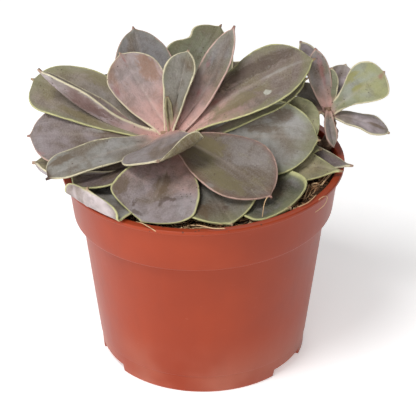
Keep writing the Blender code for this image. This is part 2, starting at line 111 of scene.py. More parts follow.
# The thin pot has warped: its rim rises towards +X by this slope, and its wall is this far out of round
WARP_SLOPE = 0.03
WARP_START = 50.0
SLACK = 0.12
SLACK_START = 20.0
SLACK_END = 60.0

# The soil's top has waves and lumps of these heights, and a bank against the pot, higher towards +X
SOIL_LEVEL = 82.0
SOIL_GAP = 0.4
SOIL_SIDES = 150
SOIL_RINGS = 56
WAVE_HEIGHT = 0.5
LUMP_HEIGHT = 1.1
LUMP_SCALE = 0.16
BANK_HEIGHT = 2.2
BANK_GROWTH = 0.8
BANK_START = 42.0
BANK_END = 54.0
BANK_REACH = 55.0

# The crumbs and fibres on it: how many, how big, and how far from the wall the outermost ones lie
CRUMBS = 2600
CRUMB_LEAST = 0.35
CRUMB_SPREAD = 0.95
CRUMB_GAP = 1.4
FIBRES = 1500
FIBRE_LENGTHS = (3, 13)
FIBRE_LEAST_RADIUS = 0.08
FIBRE_RADIUS_SPREAD = 0.28
FIBRE_GAP = 1.5
FIBRE_STEPS = 8
FIBRE_SIDES = 4

# Single fibres that show, by their points and radius: one stands up in front, some lie across the rim and
# one hangs over it on the right
LOOSE_FIBRES = (
    (((23.6, -47, 84), (24.2, -47, 90), (24.8, -46.6, 94), (26, -46, 96.4)), 0.22),
    (((-27, -48, 86), (-24, -53, 88), (-21, -57, 88.5), (-18.5, -59, 87.8)), 0.2),
    (((-5, -52, 86.6), (-1, -56, 88.8), (4, -58.8, 89.2), (9, -58.6, 89)), 0.25),
    (((36, -38, 86), (39, -41.5, 89.2), (43, -39, 90), (46.4, -33, 90)), 0.2),
    (((47.5, -24.5, 87), (50.7, -18.6, 88.6), (54, -13.4, 89.6)), 0.45),
    (((41, -32.8, 86), (42.9, -26.1, 88), (44, -21.9, 88.4)), 0.35),
    (((44, -38, 87.4), (49, -35, 90.2), (50.9, -32.7, 88.4), (49.5, -35, 86.2), (45.6, -39.6, 85.4)), 0.13),
)
LOOSE_FIBRE_SHADE = 0.8
LOOSE_FIBRE_STEPS = 6

# The stems
MAIN_STEM = ((-8, -1, 60), (-8, -1, 84), (-11, -3, 95), (-14, -5, 105))
MAIN_STEM_RADII = (6.5, 6.5, 6.0, 4.0)
OFFSET_STEM = ((42, 7, 62), (48, 8, 84), (55, 10, 95), (53, 12, 108))
OFFSET_STEM_RADII = (3.6, 3.6, 3.4, 2.4)
STEM_SIDES = 40
STEM_ROWS = 90
STEM_SHRINK = 0.45

# Each blade: its rows along and the shares of its half width across
ROWS = 44
ROW_CROWDING = 1.25
ACROSS = (0.03, 0.1, 0.2, 0.31, 0.43, 0.55, 0.67, 0.78, 0.87, 0.93, 0.97, 0.99, 1.0)
EDGE_THICKNESS = 0.8
ROOT_THICKNESS_SHARE = 1.15
TIP_THICKNESS_SHARE = 0.6
MARGIN_THINNING = 0.75
MARGIN_ROUNDING = 0.94
TIP_FOLD_SHARE = 0.6
SPUR_START = 0.972
SPUR_HALF_WIDTH = 0.9
TIP_HALF_WIDTH = 0.25
LIFT_REACH = 5.0
LIFT_BLEND = 0.35
FLAP_RADIUS = 1.5

# Its relief: a fold beside the midrib, dimples, nicks in the margin as a share of the half width, and the
# depth and half width of the groove above the midrib and of the keel below it
RIB_HALF_WIDTH = 1.5
RIB_DIP = 0.6
RIB_DIP_PLACE = 4.5
RIB_DIP_HALF_WIDTH = 2.2
DIMPLE = 0.35
NICK = 0.025
GROOVE = (0.28, 0.9)
KEEL = (0.45, 1.3)

# Skin colours that the leaves name. shade is mauve darkened, a painted shade for leaves that lie in the
# shadow of others
TONES = {
    "brown": (120, 105, 95),
    "bark": (106, 92, 78),
    "taupe": (138, 126, 112),
    "mauve": (140, 128, 129),
    "pale": (140, 131, 130),
    "rosy": (160, 144, 142),
    "lilac": (178, 164, 168),
    "olive": (160, 150, 114),
    "sage": (128, 124, 114),
    "green": (122, 124, 98),
    "mint": (148, 152, 136),
    # painted shade: mauve darkened for leaves that lie under others
    "shade": (104, 89, 88),
    "slate": (124, 121, 121),
    "ash": (114, 113, 104),
    "silver": (146, 144, 138),
    # a dark green, darkened further by a painted shadow from the leaf above
    "fern": (76, 76, 62),
    "frost": (200, 187, 188),
    # painted light: a pale yellow green brightened past the leaf's own colour, for a leaf that lies in shadow
    "fresh": (236, 226, 180),
    "cream": (226, 216, 182),
    "lime": (204, 202, 144),
    "blush": (200, 166, 152),
    "rose": (212, 176, 164),
    "umber": (100, 82, 60),
    "tan": (148, 110, 86),
    "moss": (122, 112, 78),
    "citron": (150, 148, 80),
    "plum": (116, 86, 80),
}

# Tints: those that come over the tones on every leaf, then the pot's, the stems' and the soil's
TINTS = {
    "bloom": (160, 156, 158),
    "mottle": (84, 68, 54),
    "grain": (200, 192, 186),
    "streak": (176, 168, 164),
    "green": (136, 140, 102),
    "flush": (122, 84, 78),
    "pink": (214, 164, 154),
    "worn": (96, 76, 62),
    "dust": (202, 200, 196),
    # pale along the midrib: partly the leaf's own colour, partly a painted highlight on the ridge
    "midrib": (190, 176, 166),
    "tip": (150, 106, 94),
    "dry": (74, 52, 42),
    "speck": (78, 58, 46),
    "plastic_dark": (150, 54, 23),
    "plastic_light": (162, 61, 27),
    "plastic_flow": (132, 50, 28),
    "scuff": (218, 150, 124),
    "foot_dust": (205, 170, 150),
    "lip_soil": (66, 46, 36),
    "bark_dark": (96, 74, 58),
    "bark_light": (170, 138, 112),
    "bark_ring": (70, 52, 42),
    "peat_dark": (38, 27, 20),
    "peat_light": (118, 88, 62),
    "peat_damp": (28, 20, 16),
    "crumb_dark": (44, 30, 22),
    "crumb_light": (156, 116, 82),
    "coir_dark": (134, 92, 58),
    # the light coir is brightened past the fibres' own tan, a painted light for fibres that lie in shade
    # between the leaves and the rim
    "coir_light": (236, 202, 158),
}

# Marks on single leaves: where each begins and is full, its colour and how strongly it covers. Rubbed bloom
# is the fifth kind.
MARKS = {
    "smudge": (0.3, 0.8, (176, 176, 172), 0.34),
    "blotch": (0.25, 0.9, (150, 82, 78), 0.5),
    "stain": (0.42, 0.7, (78, 60, 48), 0.7),
    "scar": (0.42, 0.56, (190, 190, 178), 0.8),
}

# What the leaf material reads from each leaf
LEAF_VALUES = ("pink", "rub", "green", "flush", "margin")


def leaf(name, height, tip, face, width, **shape):
    """One leaf: the height on the stem that it grows from, the place of its tip, the way its upper face looks
    and its greatest width; then, as in the solids, its bow, taper, folds, curls, ripples and damage. ridge
    raises its midrib. Its skin is the tone of its upper face, under of its lower face, rim of its margin and
    bare of the skin below its bloom. pink is how far the pink of its root reaches, rub how much bloom is
    rubbed off, green and flush how far the green and the red brown border reach inwards, margin how wide the
    pale margin is and dry how dark the tip is. A mark is its kind, its face, its place as a share of the
    length, its distance from the midrib, its half length and its half width."""
    made = {
        "name": name,
        "height": height,
        "tip": tip,
        "face": face,
        "width": width,
        "root_width": 9.0,
        "bow": (0, 0, 0),
        "sides": (1, 1),
        "widest": 0.64,
        "point": 0.6,
        "taper": 1.6,
        "fold": (10, 10),
        "curl": (8, 8),
        "thick": 2.4,
        "wave": 0.5,
        "waves": 2.0,
        "bite": None,
        "lift": (0, 0),
        "flap": None,
        "ridge": 0.15,
        "tone": "brown",
        "under": "lilac",
        "rim": "cream",
        "bare": "umber",
        "pink": 0.35,
        "rub": 0.4,
        "green": 0.3,
        "flush": 0.0,
        "margin": 1.0,
        "dry": 0.0,
        "marks": (),
    }
    made.update(shape)
    for key in ("widest", "point"):
        if not isinstance(made[key], tuple):
            made[key] = (made[key], made[key])
    return made


MAIN_LEAVES = (
    leaf("bud", 104, (-15, -1, 119), (0.5, -1, 0.3), 4, fold=(45, 45), root_width=4, thick=1.4, wave=0,
         tone="olive", rim="olive"),
    leaf("inner_folded", 103, (-6, 8, 136), (-0.5, -1, 0.4), 17, fold=(45, 50), root_width=7, thick=1.8,
         widest=0.74, sides=(1, 1.1),
         tone="sage", under="sage", pink=0.3, rub=0.1),
    leaf("inner_pink", 103, (-35, 12, 133), (0.2, -1, 0.6), 24, bow=(1, 0, -3), root_width=8,
         widest=(0.76, 0.7),
         tone="rosy", under="pale", bare="tan", pink=0.85, rub=0.12, green=0.1,
         marks=(("rubbed", "top", 0.74, 7.5, 6, 4), ("blotch", "top", 0.7, -10, 3, 1.4),
                ("blotch", "top", 0.93, 0, 2.5, 0.6))),
    leaf("upright_right", 102, (13, 10, 146), (-0.8, -1, 0.3), 15, bow=(4, 0, -6), sides=(1, 0.9),
         fold=(25, 25), root_width=8,
         tone="slate", under="pale", rim="rose", pink=0.7, rub=0.1,
         marks=(("blotch", "top", 0.68, -4.5, 2, 0.9), ("blotch", "top", 0.43, -2, 2.2, 1))),
    leaf("scoop", 104, (-18, -40, 109), (-0.3, -0.15, 1), 37, fold=(4, -5), curl=(12, 5), root_width=8,
         sides=(1.04, 0.95), widest=(0.8, 0.64), point=(0.4, 0.6), flap=((-0.5, 0.97), (-18, 0.69), 95),
         tone="pale", under="moss", pink=0.3, rub=0.15, green=0.15),
    leaf("left_folded", 102, (-68, 0, 131), (0, 0.3, 1), 22, fold=(55, 55), sides=(0.74, 0.8),
         widest=0.68, taper=2.3, bow=(0, 0, -16), root_width=6,
         tone="mauve", under="lilac", bare="plum", pink=0.6, rub=0.2, margin=1.4,
         marks=(("rubbed", "under", 0.68, -3.4, 14, 3.2), ("smudge", "under", 0.9, -3, 7, 3))),
    leaf("right_large", 101, (47, 10, 131), (-0.2, -0.6, 1), 30, bow=(0, 0, 6), sides=(0.94, 1.04),
         fold=(14, 16), widest=(0.72, 0.58), point=(0.65, 0.72), taper=2.4,
         tone="brown", rim="lime", bare="moss", pink=0.55, rub=0.5, green=0.5, ridge=0.7,
         marks=(("rubbed", "top", 0.42, 4, 12, 3.5), ("stain", "top", 0.62, -7, 20, 3),
                ("scar", "top", 0.62, 7.3, 1.8, 1.5), ("blotch", "top", 0.32, -2, 2, 1.4),
                # the thin smudge along the midrib is a painted highlight on the raised ridge
                ("smudge", "top", 0.75, -0.5, 12, 0.6))),
    leaf("front_right", 100, (28, -41, 93), (0.1, -0.5, 1), 33, bow=(0, 0, 6), point=0.6,
         tone="bark", rim="blush", bare="moss", pink=0.15, rub=0.4, green=0.15, flush=0.6, ridge=0.35,
         marks=(("rubbed", "top", 0.3, -2, 9, 7), ("rubbed", "top", 0.66, 8, 10, 4),
                ("smudge", "top", 0.63, 15, 2.5, 1.5))),
    leaf("left_front", 100, (-64, -31, 96), (0, -0.25, 1), 23, bow=(0, 0, 5), sides=(0.66, 0.84),
         widest=(0.6, 0.8), point=(0.6, 0.4),
         tone="silver", pink=0.25, rub=0.35, green=0.2, dry=1.0,
         marks=(("rubbed", "top", 0.83, 5.5, 6, 2),)),
    leaf("back_left", 99, (-30, 34, 135), (0.2, -1, 0.7), 26, bow=(-2, 4, -6),
         tone="slate", rim="blush", pink=0.2, rub=0.3, green=0.3),
    leaf("back_right", 98, (8, 45, 131), (0, -1, 0.6), 31, bow=(-8, 6, -4), taper=2.4,
         bite=(0.8, 0.06, 0.3),
         tone="green", pink=0.2, rub=0.5, green=0.5),
    leaf("left_broad", 98, (-72.5, 12.5, 120.5), (0, -0.6, 1), 31, bow=(0, 0, 3), sides=(0.94, 0.9),
         widest=(0.84, 0.64), point=(0.3, 0.5),
         tone="taupe", rim="lime", bare="moss", pink=0.2, rub=0.4, green=0.5,
         marks=(("rubbed", "top", 0.58, 11, 8, 3.5), ("rubbed", "top", 0.6, -9, 12, 2))),
    leaf("right_broad", 96, (49, -10, 103), (0, -0.75, 0.7), 32, bow=(0, 0, 6), sides=(1, 1.12),
         tone="silver", rim="lime", pink=0.25, rub=0.5, green=0.7, margin=1.3,
         marks=(("rubbed", "top", 0.72, -9.5, 5, 2.6), ("rubbed", "top", 0.6, -3.4, 8, 1.6))),
    leaf("front_drooping", 98, (-24.9, -49.8, 85.6), (0, -0.6, 1), 38, bow=(5, -4, 8),
         sides=(1.0, 0.96), widest=(0.78, 0.8), point=(0.75, 0.85), taper=2.2,
         tone="mauve", rim="lime", pink=0.75, rub=0.3, green=0.2, margin=1.5,
         marks=(("rubbed", "top", 0.74, 14.5, 6, 4), ("rubbed", "top", 0.6, -1, 6, 3),
                ("stain", "top", 0.84, 6.5, 3.6, 1), ("stain", "top", 0.93, 4, 1, 3),
                ("stain", "top", 0.72, -6.5, 1, 3.5), ("stain", "top", 0.77, -4, 2.5, 0.9))),
    leaf("left_level", 96, (-73, -10, 105), (0, -0.5, 1), 30, bow=(0, 0, 5), sides=(0.97, 1.05),
         widest=(0.76, 0.64), point=(0.45, 0.6), fold=(-6, 10), curl=(0, 8),
         tone="mauve", rim="blush", pink=0.3, rub=0.2, green=0.15,
         marks=(("smudge", "top", 0.55, 2.3, 5, 1.2), ("rubbed", "top", 0.4, 0.5, 9, 3),
                ("blotch", "top", 0.93, -9, 3, 1.4))),
    # the shade tone of this leaf is painted shade
    leaf("right_under", 96, (44, 8, 123), (0, -0.6, 1), 27, bow=(0, 0, 4), sides=(1, 0.68),
         tone="shade", rim="lime", green=0.6),
    leaf("right_behind", 97, (30, 36, 114), (0, -0.6, 1), 28, bow=(0, 0, 4), tone="brown"),
    leaf("front_low", 93, (12, -52, 86.2), (0, -0.3, 1), 36, bow=(0, 0, 4), widest=(0.7, 0.64),
         tone="ash", rim="lime", pink=0.1, rub=0.3, green=0.5, margin=2,
         marks=(("stain", "top", 0.82, -1.2, 1.6, 1.6), ("rubbed", "top", 0.8, 8, 5, 3))),
    # its tone is dark green with a painted shadow from the leaf above in it
    leaf("right_low_front", 89, (36, -42, 87.6), (0, -0.1, 1), 41, bow=(0, 0, 1), sides=(0.9, 0.82),
         widest=(0.84, 0.88), point=0.34, fold=(4, 2), curl=(4, 0), lift=(2.5, 1.2),
         tone="fern", rim="lime", pink=0.0, rub=0.3, green=0.7, margin=2.4,
         marks=(("rubbed", "top", 0.75, -4, 6, 3),)),
    # the shade tone of this leaf is painted shade
    leaf("left_channelled", 95, (-54, -30, 92), (0, -0.2, 1), 28, fold=(25, 25),
         tone="shade", rim="lime"),
    leaf("left_turned", 88, (-71.5, -10, 92.5), (0, 0.1, 1), 26, widest=(0.82, 0.64), point=(0.45, 0.6),
         fold=(0, 10), curl=(0, 8), bow=(0, -3, 0), sides=(1.42, 0.9), lift=(3.5, 0),
         tone="olive", under="lilac", rub=0.1),
    leaf("left_on_rim", 89, (-52.5, -45.1, 89), (0, 0, 1), 38, bow=(0, 0, -1), widest=0.9, point=0.25,
         sides=(1, 0.7), fold=(0, 4), curl=(0, 0), flap=((18, 0.85), (-18, 0.85), 95),
         tone="silver", under="frost", rim="lime", pink=0.1, rub=0.1, green=0.1, margin=1.8),
    # its tone is brightened as painted light, for the shadow that it lies in
    leaf("right_pale", 93, (50, 4, 109), (0, -0.8, 0.7), 30, bow=(0, 0, 2), sides=(0.66, 1),
         widest=0.75, point=0.4, tone="fresh", rim="lime", green=0.9),
    leaf("right_shaded", 91, (50, -5, 96), (0, -0.5, 1), 26, bow=(0, 0, 4), sides=(1, 0.6),
         tone="olive", rim="lime", green=0.5),
    # the shade tone of this leaf is painted shade
    leaf("right_folded", 89, (63, -10, 91), (0, -0.6, 1), 18, sides=(1, 0.7), point=0.9, fold=(20, 30),
         bow=(0, 0, 2), tone="shade"),
    leaf("right_on_rim", 89, (58, -17.5, 92.5), (0, -0.5, 1), 22, widest=(0.5, 0.6), point=0.95,
         fold=(15, 15), bow=(0, 0, 2), tone="olive", rim="lime", green=0.5),
    leaf("far_left_low", 92, (-64, 24, 98), (0, -0.3, 1), 30, bow=(0, 0, 4), tone="green", rim="lime"),
    leaf("far_back_left", 94, (-46, 46, 106), (0, -0.2, 1), 30, bow=(0, 0, 6), tone="brown"),
    leaf("far_back", 93, (-14, 58, 104), (0, 0, 1), 32, bow=(0, 0, 6), tone="mauve"),
    leaf("far_back_right", 92, (24, 50, 100), (0, 0, 1), 30, bow=(0, 0, 6), tone="sage"),
)

OFFSET_LEAVES = (
    leaf("pale_right", 105, (76, 8, 126), (-0.2, -1, 0.6), 19, bow=(0, 0, 1), root_width=5, thick=2.0,
         widest=(0.72, 0.84), point=(0.42, 0.36), taper=3.0,
         tone="mint", under="mint", bare="citron", pink=0.1, rub=0.35, green=0.5,
         marks=(("rubbed", "top", 0.55, -1, 4, 1.4), ("rubbed", "top", 0.55, -6.5, 4, 2),
                ("blotch", "top", 0.92, 1, 1.4, 1.4))),
    leaf("grey_right", 104, (79, 4, 99), (0, -0.1, 1), 15, bow=(0, 0, 2), sides=(0.84, 1), root_width=5,
         thick=2.0,
         tone="lilac", pink=0.1, rub=0.2,
         marks=(("rubbed", "top", 0.8, -0.5, 4, 1),)),
    leaf("upright_pink", 106, (47, 14, 134), (0.1, -1, 0.2), 11, sides=(1, 0.8), root_width=5,
         thick=2.0, bow=(0, 0, -2),
         tone="mauve", under="mauve", rim="blush", pink=0.5, rub=0.2,
         marks=(("blotch", "top", 0.66, 0.5, 6, 1.3),)),
    leaf("small_behind", 106, (41, 23, 133), (0, -1, 0.4), 9, root_width=4, thick=1.8, bow=(2, 8, 0),
         tone="lilac"),
    leaf("inner_green", 106, (54, 14, 125), (0, -1, 0.4), 7, root_width=4, thick=1.6, wave=0,
         tone="green"),
    leaf("grey_back", 105, (61, 26, 121), (0, -1, 0.8), 14, root_width=5, thick=2.0, tone="lilac"),
    leaf("small_left", 104, (40, 21, 114), (0, -0.6, 1), 11, root_width=4, thick=1.8, tone="sage"),
    # the shade tone of this leaf's lower face is painted shade
    leaf("rolled_drooping", 105, (55, -1, 95), (0, -0.4, 1), 7, root_width=4, fold=(55, 55),
         bow=(-2, -4, 5),
         tone="mauve", under="shade", rim="blush", pink=0.3),
    leaf("low_back", 102, (58, 30, 99), (0, -0.3, 1), 10, root_width=4, thick=2.0, bow=(0, 0, 4)),
)


def mix(a, b, share):
    return a + (b - a) * share


def smooth(low, high, value):
    """0 below low, 1 above high and an even S between."""
    share = min(1, max(0, (value - low) / (high - low)))
    return share * share * (3 - 2 * share)


def hump(distance, half_width):
    """1 at no distance, falling off evenly to either side."""
    return math.exp(-((distance / half_width) ** 2))


def linear(colour):
    """A screen colour as the linear colour that Blender's shaders take."""
    shares = [part / 255 for part in colour]
    return tuple(part / 12.92 if part <= 0.04045 else ((part + 0.055) / 1.055) ** 2.4 for part in shares)


def turns(sides):
    """The angles of the points of a ring."""
    return [math.tau * k / sides for k in range(sides)]


def ring_point(turn, radius, height=0.0):
    return Vector((math.cos(turn) * radius, math.sin(turn) * radius, height))


class Skin:
    """The points and faces of one piece, and what its material reads from each point."""

    def __init__(self):
        self.points = []
        self.faces = []
        self.values = {}
        self.colours = {}
        self.places = []

    def add(self, point, place, values=None, colours=None):
        self.points.append((point + POT_AXIS / MM) * MM)
        for key, value in (values or {}).items():
            self.values.setdefault(key, []).append(value)
        for key, value in (colours or {}).items():
            self.colours.setdefault(key, []).append(value)
        self.places.append(place)
        return len(self.points) - 1

    def wall(self, rings):
        """Faces from each ring of points to the next."""
        for low, high in zip(rings, rings[1:]):
            for k in range(len(low)):
                after = (k + 1) % len(low)
                self.faces.append((low[k], low[after], high[after], high[k]))

    def tube(self, rings):
        """A wall with both of its ends closed."""
        self.wall(rings)
        self.faces.append(tuple(reversed(rings[0])))
        self.faces.append(tuple(rings[-1]))

    def made_object(self, name, material):
        mesh = bpy.data.meshes.new(name)
        mesh.from_pydata(self.points, [], self.faces)
        for key, numbers in self.values.items():
            mesh.attributes.new(key, "FLOAT", "POINT").data.foreach_set("value", numbers)
        for key, colours in self.colours.items():
            flat = [part for colour in colours for part in (*colour, 1)]
            mesh.attributes.new(key, "FLOAT_COLOR", "POINT").data.foreach_set("color", flat)
        flat = [part for place in self.places for part in place]
        mesh.attributes.new("place", "FLOAT_VECTOR", "POINT").data.foreach_set("vector", flat)
        mesh.validate()
        mesh.shade_smooth()
        mesh.materials.append(material)
        return linked(bpy.data.objects.new(name, mesh))


def linked(made):
    bpy.context.scene.collection.objects.link(made)
    return made


def stem_point(stem, height):
    """The point of a stem's axis at this height."""
    points = [Vector(point) for point in stem]
    for low, high in zip(points, points[1:]):
        if height <= high.z:
            break
    return low.lerp(high, (height - low.z) / (high.z - low.z))


def half_width(made, side, along):
    """Half the blade's width at this share of its length, as in the solids."""
    index = 0 if side < 0 else 1
    widest = made["widest"][index]
    half = made["width"] / 2 * made["sides"][index]
    root = made["root_width"] / 2
    if along < widest:
        wide = mix(root, half, math.sin(math.pi / 2 * along / widest) ** made["taper"])
    else:
        past = min(1, (along - widest) / (SPUR_START - widest))
        wide = half * (1 - past**2) ** made["point"][index]
    if made["bite"] and side < 0:
        place, length, depth = made["bite"]
        wide *= 1 - depth * hump(along - place, length)
    spur = mix(SPUR_HALF_WIDTH, TIP_HALF_WIDTH, max(0, (along - SPUR_START) / (1 - SPUR_START)))
    return max(wide, spur)


def thickness(made, along, across, wide):
    """Thick along the midrib and near the root, thin at the tip and rounded off at the margin."""
    body = made["thick"] * mix(ROOT_THICKNESS_SHARE, TIP_THICKNESS_SHARE, along)
    body = max(body * (1 - MARGIN_THINNING * across**2), EDGE_THICKNESS)
    rounded_in = min(1, (1 - across) * wide / (EDGE_THICKNESS / 2))
    return body * math.sqrt(1 - (1 - rounded_in) ** 2 * MARGIN_ROUNDING)


def blade_frame(made, root, along):
    """The point of the midrib at this share of the length, and the blade's side and face directions there."""
    tip = Vector(made["tip"])
    middle = root.lerp(tip, 0.5) + Vector(made["bow"])
    point = root * (1 - along) ** 2 + middle * 2 * along * (1 - along) + tip * along**2
    ahead = ((middle - root) * (1 - along) + (tip - middle) * along).normalized()
    face = Vector(made["face"])
    face = (face - ahead * face.dot(ahead)).normalized()
    return point, ahead.cross(face), face


def flap_turn(made, root, along, beside, across_way, face):
    """How far a point moves where the leaf's border is folded up along a straight line. The flap is the two
    ends of the line, each as a distance from the midrib and a share of the length, and the fold's angle."""
    if not made["flap"]:
        return Vector()
    length = (Vector(made["tip"]) - root).length
    first, second, angle = made["flap"]
    start = Vector((first[0], first[1] * length))
    line = (Vector((second[0], second[1] * length)) - start).normalized()
    outwards = Vector((line.y, -line.x))
    beyond = (Vector((beside, along * length)) - start).dot(outwards)
    if beyond <= 0:
        return Vector()
    bend = min(beyond / FLAP_RADIUS, math.radians(angle))
    rest = beyond - bend * FLAP_RADIUS
    inwards = beyond - math.sin(bend) * FLAP_RADIUS - rest * math.cos(bend)
    rise = (1 - math.cos(bend)) * FLAP_RADIUS + rest * math.sin(bend)
    ahead = face.cross(across_way)
    return face * rise - (across_way * outwards.x + ahead * outwards.y) * inwards


def margin_lift(made, index, share, wide):
    """How far the blade's border is turned up at this share of its half width."""
    outwards = smooth(0, LIFT_BLEND, share * wide / made["width"])
    height = mix(min(made["lift"]), made["lift"][index], outwards)
    return height * max(0, 1 - (1 - share) * wide / LIFT_REACH) ** 2


def relief(made, along, side, share, out, beside, seed):
    """How far ripples, dimples and the fold by the midrib raise a point of the middle sheet."""
    ripple = made["wave"] * share**3 * math.sin(math.tau * made["waves"] * along + side)
    dimple = DIMPLE * noise.noise(Vector((side * out * 0.11, along * 5.5, seed))) * smooth(0, 0.2, along)
    rib = hump(beside, RIB_HALF_WIDTH) - RIB_DIP * hump(beside - RIB_DIP_PLACE, RIB_DIP_HALF_WIDTH)
    rib *= made["ridge"] * smooth(0, 0.25, along) * smooth(1, 0.85, along)
    return (ripple + dimple) * min(1, 4 * (1 - along)) + rib


def blade_half(made, root, along, side, seed):
    """Points of one half of the blade's middle sheet, from the midrib outwards: (point, thickness, distance
    from the margin, distance from the midrib)."""
    point, across_way, face = blade_frame(made, root, along)
    nick = NICK * noise.noise(Vector((along * 9, seed, side)))
    nick *= smooth(0.1, 0.3, along) * smooth(1, 0.9, along)
    wide = half_width(made, side, along) * (1 - abs(nick))
    index = 0 if side < 0 else 1
    fold = math.radians(made["fold"][index]) * mix(1, TIP_FOLD_SHARE, along)
    curl = math.radians(made["curl"][index])
    out, rise, before = 0.0, 0.0, 0.0
    found = []
    for share in ACROSS:
        turn = fold + curl * ((before + share) / 2) ** 2
        out += wide * (share - before) * math.cos(turn)
        rise += wide * (share - before) * math.sin(turn)
        before = share
        beside = share * wide
        level = rise + relief(made, along, side, share, out, beside, seed)
        level += margin_lift(made, index, share, wide)
        middle = point + across_way * side * out + face * level
        middle += flap_turn(made, root, along, side * beside, across_way, face)
        found.append((middle, thickness(made, along, share, wide), (1 - share) * wide, side * beside))
    return found


def blade_skins(grid):
    """The points of the upper and the lower skin, half the thickness to either side of the middle sheet."""
    top, bottom = [], []
    for row, line in enumerate(grid):
        below, above = grid[max(row - 1, 0)], grid[min(row + 1, len(grid) - 1)]
        fade = smooth(1, 0.8, row / (len(grid) - 1))
        top.append([])
        bottom.append([])
        for column, (middle, thick, _, out) in enumerate(line):
            onwards = above[column][0] - below[column][0]
            sideways = line[min(column + 1, len(line) - 1)][0] - line[max(column - 1, 0)][0]
            normal = sideways.cross(onwards).normalized()
            groove, keel = (depth * hump(out, half) * fade for depth, half in (GROOVE, KEEL))
            top[-1].append(middle + normal * (thick / 2 - groove))
            bottom[-1].append(middle - normal * (thick / 2 + keel))
    return top, bottom


def mark_strength(made, kind, under, along, out, length):
    """How strongly a leaf is marked at a point: 1 in the middle of a mark, 0.5 at its border."""
    most = 0.0
    for name, side, place, beside, half_length, half_width in made["marks"]:
        if name == kind and under == (side == "under"):
            away = math.hypot((along - place) * length / half_length, (out - beside) / half_width)
            most = max(most, 1 - away / 2)
    return most


def blade_points(skin, made, root, seed):
    """Adds the points of the blade's two skins, and returns their numbers row by row."""
    length = (Vector(made["tip"]) - root).length
    colours = {"rim": linear(TONES[made["rim"]]), "bare_tone": linear(TONES[made["bare"]])}
    shares = [1 - (1 - row / ROWS) ** ROW_CROWDING for row in range(ROWS + 1)]
    grid = []
    for along in shares:
        left = blade_half(made, root, along, -1, seed)
        grid.append(left[::-1] + blade_half(made, root, along, 1, seed))
    skins = []
    for under, points in enumerate(blade_skins(grid)):
        colours["tone"] = linear(TONES[made["under" if under else "tone"]])
        lines = []
        for along, line, cells in zip(shares, points, grid):
            lines.append([])
            for point, (_, _, edge, out) in zip(line, cells):
                values = {key: made[key] for key in LEAF_VALUES}
                values["along"] = along
                values["edge"] = min(edge, (1 - along) * length * 0.6)
                values["under"] = float(under)
                values["dry"] = made["dry"] * smooth(0.93, 0.985, along)
                for kind in ("rubbed", *MARKS):
                    values[kind] = mark_strength(made, kind, under, along, out, length)
                place = (out, along * length, seed * 31 + under * 13)
                lines[-1].append(skin.add(point, place, values, colours))
        skins.append(lines)
    return skins


def add_blade(skin, made, root, seed):
    """One leaf: two skins that meet along the margin, the root and the tip."""
    top, bottom = blade_points(skin, made, root, seed)
    skin.wall([above + below[::-1] for above, below in zip(top, bottom)])
    for column in range(len(top[0]) - 1):
        for row, turn in ((0, 1), (ROWS, -1)):
            corners = (top[row][column], bottom[row][column], bottom[row][column + 1], top[row][column + 1])
            skin.faces.append(corners[::turn])


def leaves_piece(name, stem, leaves, seed, material):
    skin = Skin()
    for number, made in enumerate(leaves):
        add_blade(skin, made, stem_point(stem, made["height"]), seed + number * 1.7)
    return skin.made_object(name, material)


def stem_piece(name, stem, radii, material):
    """A knobbly stem: rings of leaf scars with a corky skin between them."""
    points = [Vector(point) for point in stem]
    skin = Skin()
    rings = []
    for row in range(STEM_ROWS + 1):
        share = row / STEM_ROWS * (len(points) - 1)
        index = min(int(share), len(points) - 2)
        centre = points[index].lerp(points[index + 1], share - index)
        radius = mix(radii[index], radii[index + 1], share - index)
        ring = []
        for turn in turns(STEM_SIDES):
            cork = noise.noise(ring_point(turn, 2, centre.z * 0.5))
            scar = 0.25 * math.sin(centre.z * 1.7 + 2 * turn) + 0.3 * cork
            point = centre + ring_point(turn, radius - STEM_SHRINK + scar)
            ring.append(skin.add(point, (turn * radius, centre.z, 0)))
        rings.append(ring)
    skin.tube(rings)
    return skin.made_object(name, material)


def warped(point):
    """The place of a point of the pot or the soil after the warp of its upper part."""
    share = smooth(WARP_START, COLLAR_FOOT_HEIGHT, point.z)
    return point + Vector((0, 0, WARP_SLOPE * point.x * share))


def body_radius(height):
    """The outside of the pot's tapered body at this height."""
    share = (height - FOOT_LINE_HEIGHT) / (COLLAR_FOOT_HEIGHT - FOOT_LINE_HEIGHT)
    return mix(FOOT_LINE_RADIUS, BODY_TOP_RADIUS, share)


def collar_radius(height):
    """The outside of the pot's collar at this height."""
    share = (height - COLLAR_FOOT_HEIGHT) / (POT_HEIGHT - COLLAR_FOOT_HEIGHT)
    return mix(COLLAR_FOOT_RADIUS, COLLAR_TOP_RADIUS, share)


